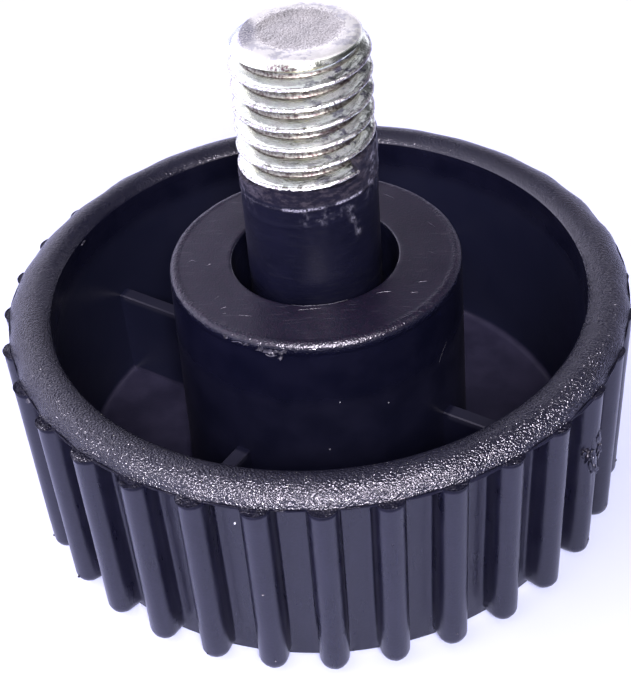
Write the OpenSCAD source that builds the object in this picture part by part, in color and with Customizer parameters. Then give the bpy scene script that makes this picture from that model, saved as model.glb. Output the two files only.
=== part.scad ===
// Knurled cap knob with a moulded-in threaded stud.
// The knob stands on its closed face, open side and stud upwards.
// Origin: centre of the closed face. +Z runs along the stud. One rib lies on +X.
// Two physical pieces: a one-piece plastic moulding and the steel bolt it was moulded around.

/* [Cup] */
// Outer radius of the rim, above the parting line
rim_r = 18.7; // [18.4:0.05:18.9]
// Height of the parting line, where the two mould halves met
parting_z = 13.3; // [12:0.1:15]
// Height of the rim's rounded crown above the parting line
rim_crown = 0.97; // [0.8:0.01:1.1]
// Radius of the arc that rounds the rim's section
rim_arc = 1.47; // [1.4:0.01:1.6]
// Outer radius of the wall between the ribs, at the closed face
wall_r_foot = 16.95; // [16.7:0.05:17.1]
// Outer radius of the wall between the ribs, at the parting line
wall_r_top = 17.4; // [17.3:0.05:17.7]
// Inner radius of the cup at its floor
cavity_r_floor = 15.8; // [15.2:0.1:16]
// Inner radius of the cup at its mouth
cavity_r_mouth = 16.25; // [16:0.05:16.4]
// Thickness of the closed end
floor_t = 1.3; // [1.3:0.1:2]
// Radius of the edge round the closed face
edge_r = 0.25; // [0.1:0.05:0.5]
// Radius of the fillets where walls meet the floor
floor_fillet = 0.5; // [0.2:0.1:0.8]

/* [Knurl ribs] */
// Number of grip ribs
rib_count = 32; // [24:4:36]
// Radius of each round-nosed rib
rib_r = 0.86; // [0.75:0.01:1]
// How much narrower a rib's foot is than its round, on each side
rib_waist = 0.07; // [0.03:0.01:0.2]
// Distance from the knob's axis to a rib's axis, at the closed face
rib_axis_foot = 17.78; // [17.5:0.02:17.8]
// Distance from the knob's axis to a rib's axis, at the parting line
rib_axis_top = 18.13; // [18:0.01:18.4]
// Gap between a rib's ball nose and the closed face's plane
rib_nose_gap = 0.2; // [0.1:0.05:0.6]

/* [Webs] */
// Number of stiffening webs between hub and cup wall
web_count = 4; // [3:1:6]
// Thickness of a web
web_t = 0.95; // [0.8:0.05:1.6]
// Height of the webs' top edge above the closed face
web_top = 7.6; // [4:0.1:12]
// Angle of the first web from +X
web_phase = -33.75; // [-45:0.25:45]

/* [Hub] */
// Outer radius of the hub at its end face
hub_r = 8.78; // [8.3:0.01:9]
// Height of the hub's end face
hub_top = 16.2; // [15:0.1:18]
// Outer radius of the hub at the floor
hub_r_foot = 9; // [9:0.05:9.8]
// Radius of the hub's outer edge
hub_edge = 0.45; // [0.2:0.05:0.8]
// Radius of the recess in the hub's end face
recess_r = 5; // [4.6:0.05:5.6]
// Height of the recess floor
recess_floor = 10.9; // [9:0.1:13]
// Outer radius of the plastic sleeve round the stud
sleeve_r = 4; // [3.95:0.01:4.3]
// Height where the sleeve ends and the bare thread begins
sleeve_top = 23.8; // [20:0.1:26]

/* [Stud] */
// Crest radius of the thread (M8)
thread_r = 3.93; // [3.9:0.01:4]
// Height of the stud's end
stud_top = 31.1; // [29:0.1:36]
// Size of the bevel at the stud's end
stud_bevel = 0.65; // [0.4:0.05:0.9]
// Mean radius of the thread where the plastic fills it (pitch radius)
shank_r = 3.6; // [3.3:0.05:3.7]
// Width across flats of the moulded-in hexagon head
head_af = 13; // [11:0.5:13]
// Height of the head's flat face above the closed face
head_foot = 0.8; // [0.6:0.1:1.5]
// Thickness of the head
head_t = 5.3; // [4:0.1:6]

/* [Hidden] */
$fn = 96;

// The crown arc runs from the rim's outer lower corner over the top to the
// mouth's inner edge: a circle that is highest inside the rim's width.
crown_c = [rim_r - sqrt(2 * rim_crown * rim_arc - rim_crown * rim_crown),
           parting_z + rim_crown - rim_arc];
rib_tilt = atan((rib_axis_top - rib_axis_foot) / parting_z);
cavity_tilt = atan((cavity_r_mouth - cavity_r_floor) / (parting_z + 0.85 - floor_t));
mouth_over = 3;

// Outer section of the cup below the parting line, with a rounded lower edge.
module wall_section() {
    difference() {
        polygon([[0, 0], [wall_r_foot, 0], [wall_r_top, parting_z], [0, parting_z]]);
        translate([wall_r_foot - edge_r, 0]) difference() {
            translate([0, -1]) square([2, edge_r + 1]);
            translate([0, edge_r]) circle(r = edge_r);
        }
    }
}

// Convex lip above the parting line.
module rim_section() {
    intersection() {
        translate(crown_c) circle(r = rim_arc);
        translate([crown_c[0] - rim_arc, parting_z])
            square([rim_r - crown_c[0] + rim_arc, 2 * rim_crown]);
    }
    translate([0, parting_z - 0.5]) square([crown_c[0], rim_crown * 0.5 + 0.5]);
}

// Half of the cavity, from the axis out to the drafted inner wall.
module cavity_section() {
    over = mouth_over * tan(cavity_tilt);
    difference() {
        polygon([[0, floor_t],
                 [cavity_r_floor, floor_t],
                 [cavity_r_mouth + over, parting_z + 0.85 + mouth_over],
                 [0, parting_z + 0.85 + mouth_over]]);
        // fillet left standing in the corner
        difference() {
            translate([cavity_r_floor - floor_fillet, floor_t - 1])
                square([2, floor_fillet + 1]);
            translate([cavity_r_floor - floor_fillet, floor_t + floor_fillet])
                circle(r = floor_fillet);
            translate([cavity_r_floor - floor_fillet, floor_t + floor_fillet])
                square([3, 1]);
        }
    }
}

// Hub section with a rounded outer edge and a fillet at the floor.
module hub_section() {
    difference() {
        polygon([[0, 0.5], [hub_r_foot, 0.5], [hub_r_foot, floor_t],
                 [hub_r, hub_top], [0, hub_top]]);
        translate([hub_r - hub_edge, hub_top - hub_edge]) difference() {
            square([2, 2]);
            circle(r = hub_edge);
        }
    }
    // fillet at the floor
    difference() {
        translate([hub_r_foot - 0.2, floor_t - 0.2])
            square([floor_fillet + 0.2, floor_fillet + 0.2]);
        translate([hub_r_foot + floor_fillet, floor_t + floor_fillet])
            circle(r = floor_fillet);
    }
}

// One rib: a round rod with a ball nose, joined to the wall by a slightly
// narrower foot, the whole leaning outwards with the mould's draft.
module rib() {
    z0 = rib_nose_gap + rib_r;
    foot = rib_r - rib_waist;
    translate([rib_axis_foot + z0 * tan(rib_tilt), 0, z0]) rotate([0, rib_tilt, 0]) {
        rotate_extrude($fn = 48) intersection() {
            union() {
                circle(r = rib_r, $fn = 48);
                square([rib_r, parting_z + 1]);
            }
            translate([0, -rib_r - 1]) square([rib_r + 1, parting_z + 4]);
        }
        translate([-1.1, 0, 0]) rotate([90, 0, 90]) linear_extrude(1.1) union() {
            circle(r = foot, $fn = 48);
            translate([-foot, 0]) square([2 * foot, parting_z + 1]);
        }
    }
}

module ribs() {
    intersection() {
        for (k = [0 : rib_count - 1]) rotate([0, 0, k * 360 / rib_count]) rib();
        cylinder(r = rim_r + 3, h = parting_z);
    }
}

module webs() {
    for (k = [0 : web_count - 1])
        rotate([0, 0, web_phase + k * 360 / web_count])
            translate([hub_r - 0.6, -web_t / 2, floor_t - 0.3])
                cube([cavity_r_floor - hub_r + 1.1, web_t, web_top - floor_t + 0.3]);
}

// The stud: a hexagon-head bolt, head down in the closed end.
module stud_solid() {
    // head, with its corners turned off on the face away from the thread
    intersection() {
        translate([0, 0, head_foot])
            cylinder(r = head_af / 2 / cos(30), h = head_t, $fn = 6);
        translate([0, 0, head_foot])
            rotate_extrude() polygon([[0, 0], [head_af * 0.475, 0],
                [head_af * 0.62, head_af * 0.145 * tan(30)], [head_af * 0.62, head_t], [0, head_t]]);
    }
    translate([0, 0, head_foot + head_t - 0.5])
        cylinder(r = shank_r, h = sleeve_top - head_foot - head_t + 1);
    translate([0, 0, sleeve_top])
        cylinder(r = thread_r, h = stud_top - stud_bevel - sleeve_top);
    translate([0, 0, stud_top - stud_bevel])
        cylinder(r1 = thread_r, r2 = thread_r - stud_bevel, h = stud_bevel);
}

module knob_body() {
    color([0.09, 0.09, 0.12])
    difference() {
        union() {
            difference() {
                union() {
                    rotate_extrude() { wall_section(); rim_section(); }
                    ribs();
                }
                rotate_extrude() cavity_section();
            }
            rotate_extrude() hub_section();
            webs();
            // sleeve of plastic that crept up the thread
            translate([0, 0, recess_floor - 1])
                cylinder(r = sleeve_r, h = sleeve_top - recess_floor + 1);
        }
        // ring-shaped recess, leaving the sleeve standing round the stud
        translate([0, 0, recess_floor]) difference() {
            cylinder(r = recess_r, h = hub_top);
            translate([0, 0, -1]) cylinder(r = sleeve_r, h = hub_top + 2);
        }
        stud_solid();
    }
}

module threaded_stud() {
    color([0.78, 0.8, 0.78]) stud_solid();
}

knob_body();
threaded_stud();
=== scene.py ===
import math

import bpy
import bmesh
import numpy as np
from mathutils import Matrix, Vector


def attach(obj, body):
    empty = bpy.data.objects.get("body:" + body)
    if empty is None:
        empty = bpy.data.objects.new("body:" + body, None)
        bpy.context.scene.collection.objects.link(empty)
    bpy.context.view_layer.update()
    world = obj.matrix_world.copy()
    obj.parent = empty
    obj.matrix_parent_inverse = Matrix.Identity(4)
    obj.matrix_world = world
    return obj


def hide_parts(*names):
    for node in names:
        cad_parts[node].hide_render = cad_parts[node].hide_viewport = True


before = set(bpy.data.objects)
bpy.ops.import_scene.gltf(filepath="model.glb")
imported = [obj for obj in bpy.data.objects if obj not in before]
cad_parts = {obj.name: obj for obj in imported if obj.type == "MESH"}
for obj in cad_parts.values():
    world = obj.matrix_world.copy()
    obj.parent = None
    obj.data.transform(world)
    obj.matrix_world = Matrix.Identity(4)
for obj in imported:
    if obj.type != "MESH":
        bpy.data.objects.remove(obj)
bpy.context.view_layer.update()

MM = 0.001
TAU = 2 * math.pi

# ---------------------------------------------------------------- sizes (mm)
RIBS = 32
RIB_R = 0.86
NOSE_Z = 0.2 + RIB_R
PART_Z = 13.3
RIM_R = 18.7
CROWN_R = 1.47
CROWN_X = RIM_R - math.sqrt(2 * 0.97 * CROWN_R - 0.97 ** 2)
CROWN_Z = PART_Z + 0.97 - CROWN_R
HUB_TOP = 16.2
HUB_R = 8.78
RECESS_R = 5.0
PITCH = 1.25
CREST_R = 3.93
STUD_TOP = 31.1
TURN = math.radians(1.7755)
# The two mould halves didn't meet exactly: the half with the ribs sits this far off the axis.
SHIFT = np.array([-0.170, -0.270, 0.0])


# the rim's outline isn't a true circle: how far it stands out (mm) at each azimuth
RIM_AZ = [-160, -20, -5, 5, 14, 17.5, 24, 31, 34, 45, 60, 75, 105, 122, 126, 130, 134.5, 138, 141, 144, 149, 155, 162, 167, 175, 182, 190, 200]
RIM_OUT = [0, 0, 0, .1, .19, .1, .2, .14, .17, .07, .02, 0, 0, -.02, -.05, -.17, -.03, -.12, -.24, -.15, 0, 0, .12, .12, .2, .15, .05, 0]


def rim_out(az):
    return np.interp((np.asarray(az, float) + 160) % 360 - 160, RIM_AZ, RIM_OUT)


def rib_axis(z):
    return 17.78 + 0.35 * z / PART_Z


def wall_r(z):
    return 16.95 + 0.45 * z / PART_Z


# ---------------------------------------------------------------- noise
def _hash(ix, iy, iz, seed):
    h = (ix.astype(np.int64) * 374761393 + iy.astype(np.int64) * 668265263
         + iz.astype(np.int64) * 2147483647 + seed * 974634777)
    h = (h ^ (h >> 13)) * 1274126177
    h &= 0x7FFFFFFFFFFF
    h = (h ^ (h >> 16)) & 0xFFFFFF
    return h / float(0xFFFFFF) * 2 - 1


def noise3(p, scale, seed=0):
    """Smooth value noise in [-1, 1] at points p (n, 3), features of size scale."""
    q = np.asarray(p, float) / scale
    i = np.floor(q).astype(np.int64)
    f = q - i
    f = f * f * (3 - 2 * f)
    out = 0
    for dx in (0, 1):
        for dy in (0, 1):
            for dz in (0, 1):
                w = ((f[:, 0] if dx else 1 - f[:, 0]) * (f[:, 1] if dy else 1 - f[:, 1])
                     * (f[:, 2] if dz else 1 - f[:, 2]))
                out = out + w * _hash(i[:, 0] + dx, i[:, 1] + dy, i[:, 2] + dz, seed)
    return out


def fractal(p, scale, seed=0, octaves=3):
    out, amp, tot = 0, 1.0, 0
    for k in range(octaves):
        out = out + amp * noise3(p, scale / 2 ** k, seed + 17 * k)
        tot += amp
        amp *= 0.5
    return out / tot


def cyl(r, th, z):
    r, th, z = np.broadcast_arrays(np.asarray(r, float), np.asarray(th, float), np.asarray(z, float))
    return np.stack([r * np.cos(th), r * np.sin(th), z], 1)


def smooth(x, a, b):
    t = np.clip((np.asarray(x, float) - a) / (b - a), 0, 1)
    return t * t * (3 - 2 * t)


def bump(x, c, w):
    return np.exp(-((np.asarray(x, float) - c) / w) ** 2)


def wrap(a):
    """Angle difference wrapped to (-180, 180], degrees."""
    return (np.asarray(a, float) + 180) % 360 - 180


# ---------------------------------------------------------------- mesh builder
class Rings:
    """A closed sheet made of rings of vertices, each joined to the next."""

    def __init__(self):
        self.v, self.f, self.last, self.n = [], [], None, 0

    def pole(self, p):
        self.v.append(np.asarray([p], float))
        self.last = (self.n, 1)
        self.n += 1

    def ring(self, pts):
        pts = np.asarray(pts, float)
        m = len(pts)
        start = self.n
        self.v.append(pts)
        self.n += m
        if self.last is not None:
            s0, m0 = self.last
            if m0 == m:
                a = np.arange(m)
                b = (a + 1) % m
                self.f.extend(np.stack([s0 + a, s0 + b, start + b, start + a], 1).tolist())
            elif m0 == 1:
                for i in range(m):
                    self.f.append([s0, start + (i + 1) % m, start + i])
            elif m == 1:
                for i in range(m0):
                    self.f.append([s0 + i, s0 + (i + 1) % m0, start])
            elif m0 > m:
                k = m0 // m
                for i in range(m):
                    j = (i + 1) % m
                    fine = [s0 + (i * k + q) % m0 for q in range(k + 1)]
                    h = k // 2
                    for q in range(h):
                        self.f.append([fine[q], fine[q + 1], start + i])
                    self.f.append([start + i, fine[h], start + j])
                    for q in range(h, k):
                        self.f.append([fine[q], fine[q + 1], start + j])
            else:
                k = m // m0
                for i in range(m0):
                    j = (i + 1) % m0
                    fine = [start + (i * k + q) % m for q in range(k + 1)]
                    h = k // 2
                    for q in range(h):
                        self.f.append([s0 + i, fine[q + 1], fine[q]])
                    self.f.append([s0 + i, s0 + j, fine[h]])
                    for q in range(h, k):
                        self.f.append([s0 + j, fine[q + 1], fine[q]])
        self.last = (start, m)

    def arrays(self):
        return np.concatenate(self.v), self.f


def new_mesh(name, verts, faces):
    me = bpy.data.meshes.new(name)
    me.from_pydata((np.asarray(verts) * MM).tolist(), [], faces)
    me.validate()
    me.update()
    ob = bpy.data.objects.new(name, me)
    bpy.context.scene.collection.objects.link(ob)
    return ob


def clean(ob, dist=0.002, recalc=True):
    bm = bmesh.new()
    bm.from_mesh(ob.data)
    bmesh.ops.remove_doubles(bm, verts=bm.verts, dist=dist * MM)
    bmesh.ops.dissolve_degenerate(bm, edges=bm.edges, dist=dist * 0.5 * MM)
    if recalc:
        bmesh.ops.recalc_face_normals(bm, faces=bm.faces)
    bm.to_mesh(ob.data)
    bm.free()
    ob.data.update()


def boolean(ob, other, op):
    m = ob.modifiers.new("b", "BOOLEAN")
    m.operation = op
    m.object = other
    m.solver = "MANIFOLD"
    m.material_mode = "TRANSFER"
    bpy.context.view_layer.update()
    dg = bpy.context.evaluated_depsgraph_get()
    me = bpy.data.meshes.new_from_object(ob.evaluated_get(dg))
    old = ob.data
    ob.modifiers.clear()
    ob.data = me
    bpy.data.meshes.remove(old)


def shade(ob, angle=35):
    me = ob.data
    me.polygons.foreach_set("use_smooth", np.ones(len(me.polygons), bool))
    bm = bmesh.new()
    bm.from_mesh(me)
    lim = math.radians(angle)
    for e in bm.edges:
        e.smooth = not (len(e.link_faces) == 2 and e.calc_face_angle(0) > lim)
    bm.to_mesh(me)
    bm.free()
    me.update()


# ---------------------------------------------------------------- body
PER = 28                       # samples in one rib's period
N = RIBS * PER
HALF = math.pi / RIBS
KIDX = np.repeat(np.arange(RIBS), PER)
SIDX = np.tile(np.arange(-PER // 2, PER // 2), RIBS)      # -14 .. 13
CENTER = KIDX * TAU / RIBS


def half_profile(z, rho, ra, rw, fillet=0.12):
    """15 points (t, r) from the middle of a rib to the middle of the gap."""
    pts = []
    for j in range(9):
        s = math.radians(11.25 * j)
        pts.append((rho * math.sin(s), ra + rho * math.cos(s)))
    f = min(fillet, max(0.02, (ra - rw) * 0.5))
    pts.append((rho, ra - (ra - rw - f) * 0.5))
    pts.append((rho, rw + f))
    pts.append((rho + f * (1 - math.cos(math.radians(45))), rw + f * (1 - math.sin(math.radians(45)))))
    edge = rho + f
    pts.append((edge, None))
    gap = rw * HALF
    pts.append((edge + (gap - edge) * 0.5, None))
    pts.append((gap, None))
    return pts


def outline(z, rho, ra, rw):
    """One ring of the knurled outline: radii and angles."""
    hp = half_profile(z, rho, ra, rw)
    r = np.zeros(N)
    th = np.zeros(N)
    for j in range(-14, 14):
        t, rad = hp[abs(j)]
        m = SIDX == j
        if rad is None:
            a = t / rw
            rr = rw
        else:
            a = math.atan2(t, rad)
            rr = math.hypot(t, rad)
        th[m] = CENTER[m] + math.copysign(a, j)
        r[m] = rr
    return r, th


UNIFORM = CENTER + SIDX * (2 * HALF / PER)


def az_deg(th):
    return np.degrees(th)


def torn(az):
    """How ragged the flash is round the parting line: worst at the front left."""
    a = np.asarray(az, float)
    return 0.25 + 0.75 * bump(wrap(a + 125), 0, 34) + 0.5 * bump(wrap(a + 40), 0, 18)


def build_body():
    R = Rings()
    M2, M4 = N // 2, N // 4
    th2 = UNIFORM[::2]
    th4 = UNIFORM[::4]
    uni = UNIFORM

    def low(p):
        return p + SHIFT
    # closed face
    R.pole(SHIFT)
    for r in (1.5, 4, 7, 10, 13, 15.2):
        R.ring(low(cyl(r, th4, 0)))
    foot = wall_r(0)
    for deg in (90, 68, 45, 22):
        a = math.radians(deg)
        R.ring(low(cyl(foot - 0.25 + 0.25 * math.cos(a), uni, 0.25 - 0.25 * math.sin(a))))
    # nose of the ribs, a little ragged
    beta0 = 7
    z0 = NOSE_Z - RIB_R * math.cos(math.radians(beta0))
    r, th = outline(z0, RIB_R * math.sin(math.radians(beta0)), rib_axis(z0), wall_r(z0))
    R.ring(low(cyl(np.full(N, wall_r(z0)), th, z0 - 0.004)))
    for beta in (7, 16, 26, 36, 46, 56, 66, 78):
        b = math.radians(beta)
        z = NOSE_Z - RIB_R * math.cos(b)
        r, th = outline(z, RIB_R * math.sin(b), rib_axis(z), wall_r(z))
        P = cyl(r, th, z)
        rough = 0.035 * fractal(P, 0.35, 61) * smooth(r, 17.6, 18.1)
        P[:, 2] += rough
        R.ring(low(P))
    # straight part of the ribs and wall
    zs = [NOSE_Z, 2.6, 4.8, 7.4, 10.0, 12.0, 12.6, 13.0, 13.17]
    for z in zs:
        r, th = outline(z, RIB_R, rib_axis(z), wall_r(z))
        P = cyl(r, th, z)
        sag = 0.012 * noise3(P, 2.6, 71) + 0.05 * smooth(z, 12.6, 13.2) * fractal(P, 0.5, 72) * torn(az_deg(th)) * smooth(r, 17.7, 18.3)
        P[:, :2] *= (1 + sag / r)[:, None]
        R.ring(low(P))
    # parting line: a thin fin of flash where the halves met, then the flat rib tops
    r, th = outline(PART_Z, RIB_R, rib_axis(PART_Z), wall_r(PART_Z))
    L = low(cyl(r, th, PART_Z))
    rl = np.hypot(L[:, 0], L[:, 1])
    tl = np.unwrap(np.arctan2(L[:, 1], L[:, 0]))
    az = np.degrees(tl)
    edge_r = RIM_R + rim_out(az)
    U = np.maximum(rl, edge_r)
    on_rib = np.clip((rl - edge_r) / 0.12, 0, 1)
    P = cyl(U, tl, PART_Z)
    t = torn(az)
    hang = np.clip(0.5 + 0.9 * fractal(P, 1.7, 5), 0, 1) * (1 - on_rib)
    right = bump(wrap(az + 48), 0, 26)
    fin = 0.03 + 0.05 * t * (1 + noise3(P, 0.55, 3)) + 0.05 * right * hang
    droop = hang * (0.05 + 0.22 * right + 0.05 * t)
    R.ring(cyl(U - 0.03, tl, PART_Z - 0.035))
    R.ring(cyl(U + fin, tl, PART_Z - 0.03 - droop))
    R.ring(cyl(U + fin + 0.005, tl, PART_Z - droop + 0.012 + 0.05 * t * np.clip(fractal(P, 0.45, 9), 0, 1)))
    over = np.clip((U - edge_r) / 0.4, 0, 1)
    for q in (0.9, 0.72, 0.54, 0.36, 0.18):
        rr = edge_r + (U - edge_r) * q
        Q = cyl(rr, tl, PART_Z)
        crumple = (0.16 * t * fractal(Q, 0.42, 21) + 0.07 * t * noise3(Q, 0.16, 23) + 0.04 * t) * over
        R.ring(cyl(rr + 0.01 * (1 - over), tl, PART_Z + 0.012 * (1 - q) + crumple))
    # rim lip
    a0 = math.atan2(PART_Z - CROWN_Z, RIM_R - CROWN_X)
    a1 = math.pi - math.acos((CROWN_X - 16.25) / CROWN_R)
    steps = 15
    for k in range(steps + 1):
        u = k / steps
        a = a0 + (a1 - a0) * u
        w = smooth(u, 0, 0.55)
        th = tl * (1 - w) + uni * w
        P = cyl(CROWN_X + rim_out(np.degrees(th)) * (1 - smooth(u, 0.05, 0.6)), th, CROWN_Z)
        nrm = cyl(math.cos(a), th, math.sin(a))
        G = P + nrm * CROWN_R
        grain = 0.004 * noise3(G, 0.2, 33)
        low_f = 0.03 * fractal(G, 3.0, 35)
        edge = smooth(u, 0.0, 0.08) * (1 - 0.6 * smooth(u, 0.85, 1))
        wave = 0.05 * np.cos(RIBS * (th - SHIFT[1] * 0)) * (1 - smooth(u, 0.0, 0.45))
        lip = 0.06 * np.clip(noise3(G, 0.35, 36), 0, 1) * smooth(u, 0.88, 1) * bump(wrap(np.degrees(th) - 157), 0, 7)
        R.ring(P + nrm * (CROWN_R + grain * edge + low_f * smooth(u, 0, 0.2) * (1 - smooth(u, 0.8, 1)) + wave + lip)[:, None])
    # inner wall
    slope = (16.25 - 15.8) / (14.15 - 1.3)
    z_in = CROWN_Z + CROWN_R * math.sin(a1)

    def inner(z):
        return 15.8 + slope * (z - 1.3)
    for z in (z_in - 0.12, 13.4, 11, 8, 5, 3, 1.8):
        R.ring(cyl(inner(z), th2, z))
    for deg in (22, 45, 68, 90):
        a = math.radians(deg)
        R.ring(cyl(inner(1.8) - 0.5 + 0.5 * math.cos(a), th2, 1.8 - 0.5 * math.sin(a)))
    for r in (14.2, 12.4, 10.8):
        R.ring(cyl(r, th4, 1.3))
    # hub
    hf = 9.0
    for deg in (90, 60, 30, 0):
        a = math.radians(deg)
        R.ring(cyl(hf + 0.5 - 0.5 * math.cos(a), th4, 1.8 - 0.5 * math.sin(a)))
    for z in (3, 6, 9, 12, 14.2, 15.0):
        R.ring(cyl(hf + (HUB_R - hf) * (z - 1.3) / 14.9, th4, z))
    for z in (15.3, 15.55):
        R.ring(cyl(HUB_R, th2, z))
    e = 0.42
    for deg in (0, 15, 30, 45, 60, 75, 90):
        a = math.radians(deg)
        P = cyl(HUB_R - e + e * math.cos(a), th2, HUB_TOP - e + e * math.sin(a))
        P += cyl(math.cos(a), th2, math.sin(a)) * (0.02 * fractal(P, 0.6, 51))[:, None]
        R.ring(P)
    for r in (8.1, 7.6, 7.1, 6.5, 5.9, 5.35):
        P = cyl(r, th2, HUB_TOP)
        P[:, 2] += 0.012 * fractal(P, 1.8, 52) + 0.006 * math.sin(r * 9)
        R.ring(P)
    for deg in (90, 60, 30, 0):
        a = math.radians(deg)
        P = cyl(RECESS_R + 0.15 - 0.15 * math.cos(a), th2, HUB_TOP - 0.15 + 0.15 * math.sin(a))
        P[:, 2] += 0.015 * noise3(P, 0.5, 53)
        R.ring(P)
    for z in (15, 13, 11.2):
        R.ring(cyl(RECESS_R, th4, z))
    R.ring(cyl(4.8, th4, 10.95))
    R.ring(cyl(4.4, th4, 10.9))
    # sleeve: plastic film over the thread, its crests just showing through
    top4, top2 = sleeve_top(np.degrees(th4)), sleeve_top(np.degrees(th2))
    for z in (10.95, 12.5, 14, 15.4):
        R.ring(cyl(4.1 if z < 11 else 3.97, th4, z))
    for k in range(16):
        R.ring(sleeve_point(th4, np.full(M4, 16.0 + 0.25 * k)))
    n = 38
    for k in range(n + 1):
        z = 20.0 + (top2 - 0.06 - 20.0) * k / n
        R.ring(sleeve_point(th2, z))
    P = sleeve_point(th2, top2 - 0.01, -0.012)
    R.ring(P)
    R.ring(cyl(3.88, th2, top2 + 0.02 * noise3(P, 0.3, 44)))
    R.ring(cyl(3.4, th4, top4 + 0.02))
    R.ring(cyl(2.0, th4, top4 - 0.1))
    v, f = R.arrays()
    m = M4
    s = R.last[0]
    c = len(v)
    v = np.vstack([v, [[0, 0, 23.6]]])
    for i in range(m):
        f.append([s + i, s + (i + 1) % m, c])
    ob = new_mesh("knob_moulding", v, f)
    clean(ob)
    return ob


PHASE = 23.35 + PITCH * 98 / 360          # height of a crest on azimuth 0


def torn_line(a):
    """Height of the torn line round the sleeve, one turn below the last bare crest."""
    return np.interp(wrap(a), [-180, -150, -132, -98, -86, -69, -43, 0, 180], [21.6, 21.85, 21.99, 22.03, 22.12, 22.20, 22.25, 22.4, 21.6])


def line_part(a):
    """Where the torn line stands up and has gone white."""
    a = wrap(a)
    return np.maximum(smooth(a, -114, -111) * (1 - smooth(a, -81, -77)), smooth(a, -69.5, -67) * (1 - smooth(a, -45, -41)))


def smear_az(z):
    return -55.5 + (21.6 - np.asarray(z, float)) * 4.2


def sleeve_point(th, z, extra=0.0):
    """A point on the sleeve's wrinkled outside."""
    th = np.asarray(th, float)
    z = np.broadcast_to(np.asarray(z, float), th.shape)
    az = np.degrees(th)
    a = wrap(az)
    P = cyl(4.0, th, z)
    turn = (z - PHASE) / PITCH - a / 360
    ridge = bump(turn - np.round(turn), 0, 0.13)
    fade = smooth(z, 17.0, 21.5)
    r = 3.985 + 0.035 * ridge * (0.15 + 0.85 * fade) * (0.6 + 0.4 * noise3(P, 1.1, 41))
    # film left standing between the last bare crest and the torn line
    line = torn_line(a)
    r = r + 0.04 * smooth(z, line - 0.06, line + 0.03) + 0.012 * fractal(P, 0.45, 42) * smooth(z, line, line + 0.2)
    r = r + 0.055 * bump(z, line, 0.06) * line_part(a) * (0.75 + 0.35 * noise3(P, 0.22, 43))
    # rough patch under it, smear to its right, crumpled seam at the right
    r = r + 0.075 * fractal(P, 0.3, 46) * smooth(a, -103, -92) * (1 - smooth(a, -66, -58)) * bump(z, 21.45, 0.5)
    r = r + 0.06 * (0.6 + 0.6 * noise3(P, 0.25, 49)) * bump(a, smear_az(z), 2.4) * smooth(z, 19.4, 19.9) * (1 - smooth(z, 21.7, 21.9))
    r = r + 0.10 * np.clip(fractal(P, 0.35, 47) + 0.25, 0, 1) * bump(a, -21, 15) * smooth(z, 20.6, 22.0)
    r = r + 0.05 * np.clip(fractal(P, 0.5, 50), 0, 1) * bump(a, -160, 16) * smooth(z, 20.5, 21.6)
    r = r + 0.008 * fractal(P, 0.7, 48)
    return cyl(r + extra, th, z)


SLEEVE_AZ = [-180, -168, -160, -150, -140, -131, -118, -105, -92, -80, -68, -58, -51, -46, -43.2, -41.6, -33, -20, 0, 60, 100, 130, 150, 165, 175, 180]
SLEEVE_Z = [22.62, 22.67, 22.70, 22.82, 22.98, 23.16, 23.31, 23.36, 23.29, 23.30, 23.27, 23.23, 23.29, 23.36, 23.5, 24.26, 24.58, 24.73, 24.85, 24.5, 24.2, 23.8, 23.3, 22.9, 22.65, 22.62]


def sleeve_top(az):
    """Height of the sleeve's torn top edge at azimuths in the part's frame."""
    return np.interp(wrap(az), SLEEVE_AZ, SLEEVE_Z) + 0.03 * np.sin(np.radians(az) * 23) + 0.02 * np.sin(np.radians(az) * 61)


def build_webs(ob):
    for k in range(4):
        a = math.radians(-33.75 + 90 * k)
        pts = []
        prof = [(-0.62, 0.9), (-0.54, 1.6), (-0.45, 7.52), (-0.38, 7.6), (0.38, 7.6), (0.45, 7.52), (0.54, 1.6), (0.62, 0.9)]
        u = Vector((math.cos(a), math.sin(a)))
        w = Vector((-u.y, u.x))
        xs = (8.2, 10.5, 13, 16.35)
        v, f = [], []
        for x in xs:
            for t, z in prof:
                p = u * x + w * t
                v.append((p.x, p.y, z))
        n = len(prof)
        for i in range(len(xs) - 1):
            for j in range(n):
                q = (j + 1) % n
                f.append([i * n + j, i * n + q, (i + 1) * n + q, (i + 1) * n + j])
        f.append(list(range(n))[::-1])
        f.append([(len(xs) - 1) * n + j for j in range(n)])
        web = new_mesh("web", v, f)
        clean(web)
        boolean(ob, web, "UNION")
        bpy.data.objects.remove(web)


# ---------------------------------------------------------------- stud
def thread_profile():
    """One pitch of the thread: (fraction of pitch, radius), rounded crest and root."""
    rc, rr = CREST_R, 3.17
    pts = []
    for k in range(5):                       # crest
        s = -1 + k / 2
        pts.append((0.0 + 0.045 * s, rc - 0.022 * s * s))
    pts += [(0.045 + 0.145, rc - 0.022 - 0.30), (0.345, rr + 0.07)]
    for k in range(1, 4):                    # root
        s = -1 + k / 2
        pts.append((0.5 + 0.13 * s, rr + 0.045 * s * s))
    pts += [(0.655, rr + 0.07), (0.81, rc - 0.022 - 0.30)]
    return pts


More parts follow.
